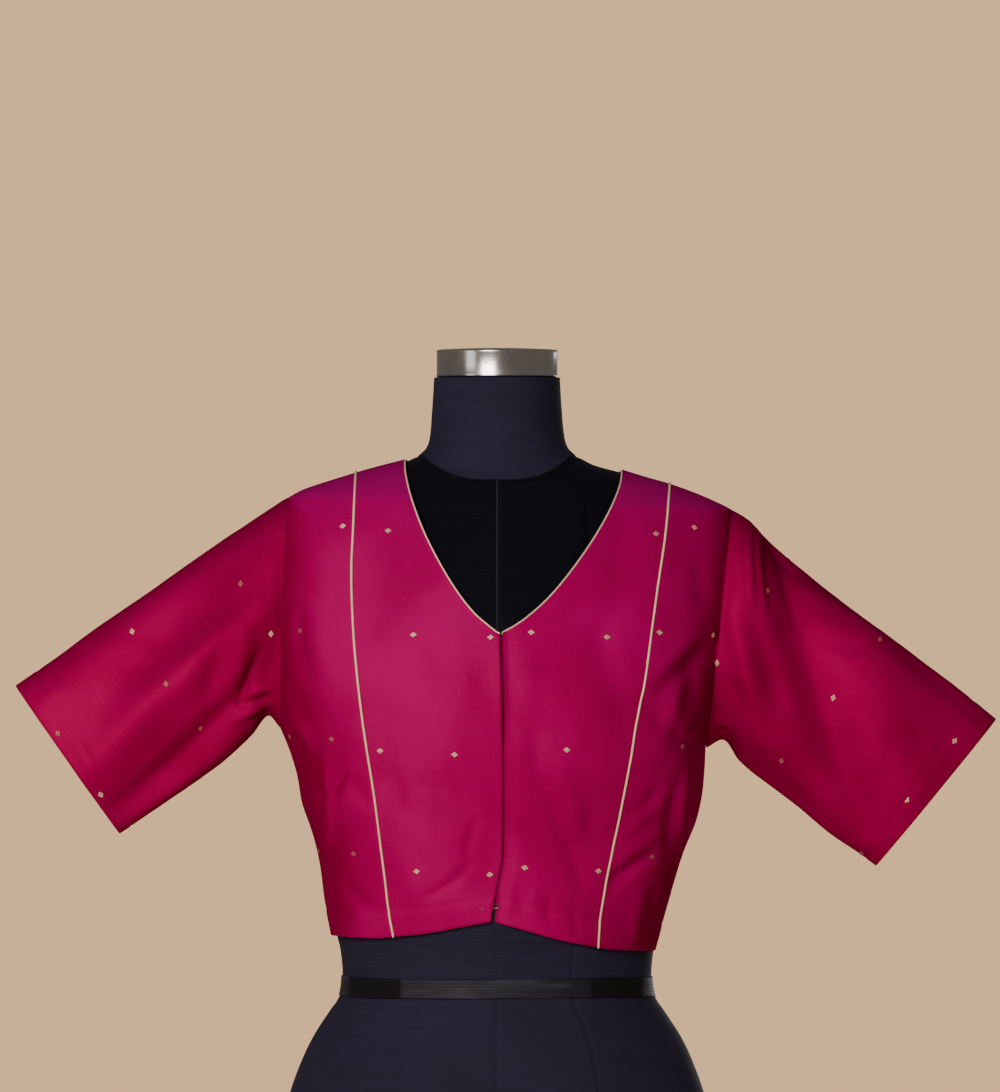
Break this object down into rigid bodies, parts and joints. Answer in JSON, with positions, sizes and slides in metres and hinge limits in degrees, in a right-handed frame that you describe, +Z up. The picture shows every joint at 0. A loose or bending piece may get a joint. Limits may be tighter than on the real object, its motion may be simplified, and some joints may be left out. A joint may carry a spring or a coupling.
{
  "type": "choli blouse on a limbless dress form",
  "caption": "Silk choli blouse, open down the front, with a V neck, piped princess seams and elbow sleeves, worn by a table-top dress form with a flat base.",
  "frame": {"origin": "centre of the dress form's flat underside, below its waist and neck", "axes": "+Z up the form, front faces -Y, +X to the viewer's right (the wearer's left)"},
  "size_m": [0.7938, 0.2616, 0.708],
  "materials": {
    "silk": "rani pink shot silk with small woven gold motifs",
    "gold_cord": "pale gold corded piping",
    "hook_steel": "dull wire",
    "form_cloth": "black woven cover",
    "polished_steel": "polished",
    "form_tape": "black woven tape"
  },
  "bodies": {
    "root": {"front_centre_right": "silk", "front_centre_left": "silk", "front_side_right": "silk", "front_side_left": "silk", "back": "silk", "sleeve_right": "silk", "sleeve_left": "silk", "princess_piping_right": "gold_cord", "princess_piping_left": "gold_cord", "neck_piping": "gold_cord", "hook_lowest": "hook_steel", "form_body": "form_cloth", "form_neck_cap": "polished_steel", "form_waist_tape": "form_tape"}
  },
  "joints": []
}
